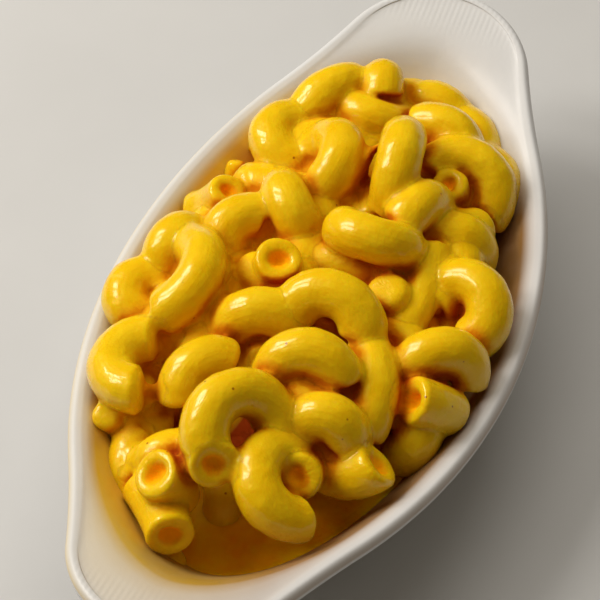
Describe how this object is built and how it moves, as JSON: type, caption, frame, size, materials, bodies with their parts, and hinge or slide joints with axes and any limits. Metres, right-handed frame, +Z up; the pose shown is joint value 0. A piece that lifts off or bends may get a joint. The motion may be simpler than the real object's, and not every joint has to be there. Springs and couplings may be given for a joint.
{
  "type": "mac and cheese",
  "caption": "Heap of elbow macaroni in glossy yellow cheese sauce, in a white oval stoneware gratin dish with a tapered tab at each end.",
  "frame": {"origin": "middle of the dish's foot, on the surface it stands on", "axes": "+X along the dish's length, towards the far tab; +Y across the dish; +Z up"},
  "size_m": [0.19, 0.094, 0.0528],
  "materials": {
    "white_glaze": "smooth white stoneware glaze with a soft gloss",
    "cheese_sauce": "thick glossy cheese sauce",
    "coated_macaroni": "boiled pasta under a wet coat of yellow cheese sauce"
  },
  "bodies": {
    "root": {"dish": "white_glaze", "cheese_sauce": "cheese_sauce", "macaroni": "coated_macaroni"}
  },
  "joints": []
}
